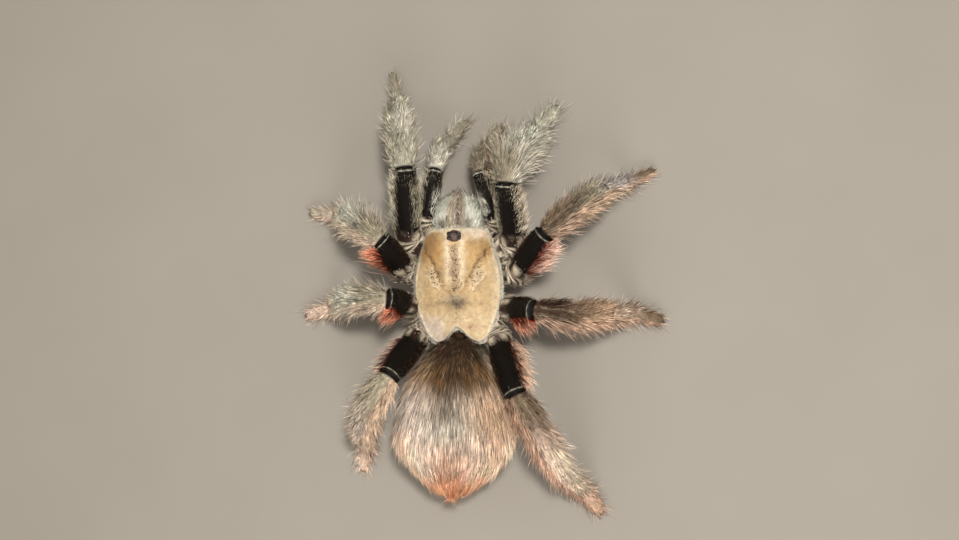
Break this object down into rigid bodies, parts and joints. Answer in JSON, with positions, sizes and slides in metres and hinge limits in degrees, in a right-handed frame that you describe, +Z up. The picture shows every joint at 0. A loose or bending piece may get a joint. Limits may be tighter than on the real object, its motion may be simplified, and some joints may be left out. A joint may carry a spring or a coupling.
{
  "type": "tarantula",
  "caption": "Still, life-size ground tarantula standing with its knees raised: dark thighs, pale grey shins, a tan carapace and a plump long-haired abdomen.",
  "frame": {"origin": "on the floor, under the middle of the animal's outline", "axes": "+X the animal's right, +Y its front, +Z up"},
  "size_m": [0.0833, 0.1019, 0.0308],
  "materials": {
    "carapace": "tan shell under a flat nap of pale hair",
    "dark_shell": "dark brown satin shell",
    "eye": "wet black gloss",
    "fang": "polished black",
    "cheek_coat": "cream hair over brown shell",
    "pale_coat": "pale pinkish-grey hair",
    "black_coat": "velvety black hair",
    "grey_coat": "pale grey hair with long rose bristles",
    "abdomen_coat": "long hair, brown in front, grey in the middle and rose behind"
  },
  "bodies": {
    "root": {"abdomen": "abdomen_coat", "carapace": "carapace", "chelicera_left": "cheek_coat", "chelicera_right": "cheek_coat", "eye_front_middle_left": "eye", "eye_front_middle_right": "eye", "eye_front_side_left": "eye", "eye_front_side_right": "eye", "eye_rear_middle_left": "eye", "eye_rear_middle_right": "eye", "eye_rear_side_left": "eye", "eye_rear_side_right": "eye", "eye_tubercle": "dark_shell", "fang_left": "fang", "fang_right": "fang", "labium": "dark_shell", "leg_1_left_coxa": "pale_coat", "leg_1_left_femur": "black_coat", "leg_1_left_foot": "grey_coat", "leg_1_left_patella_tibia": "grey_coat", "leg_1_right_coxa": "pale_coat", "leg_1_right_femur": "black_coat", "leg_1_right_foot": "grey_coat", "leg_1_right_patella_tibia": "grey_coat", "leg_2_left_coxa": "pale_coat", "leg_2_left_femur": "black_coat", "leg_2_left_foot": "grey_coat", "leg_2_left_patella_tibia": "grey_coat", "leg_2_right_coxa": "pale_coat", "leg_2_right_femur": "black_coat", "leg_2_right_foot": "grey_coat", "leg_2_right_patella_tibia": "grey_coat", "leg_3_left_coxa": "pale_coat", "leg_3_left_femur": "black_coat", "leg_3_left_foot": "grey_coat", "leg_3_left_patella_tibia": "grey_coat", "leg_3_right_coxa": "pale_coat", "leg_3_right_femur": "black_coat", "leg_3_right_foot": "grey_coat", "leg_3_right_patella_tibia": "grey_coat", "leg_4_left_coxa": "pale_coat", "leg_4_left_femur": "black_coat", "leg_4_left_foot": "grey_coat", "leg_4_left_patella_tibia": "grey_coat", "leg_4_right_coxa": "pale_coat", "leg_4_right_femur": "black_coat", "leg_4_right_foot": "grey_coat", "leg_4_right_patella_tibia": "grey_coat", "palp_left_femur": "black_coat", "palp_left_maxilla": "pale_coat", "palp_left_patella_tibia": "grey_coat", "palp_left_tarsus": "grey_coat", "palp_right_femur": "black_coat", "palp_right_maxilla": "pale_coat", "palp_right_patella_tibia": "grey_coat", "palp_right_tarsus": "grey_coat", "pedicel": "dark_shell", "spinneret_left": "pale_coat", "spinneret_right": "pale_coat", "sternum": "dark_shell"}
  },
  "joints": []
}
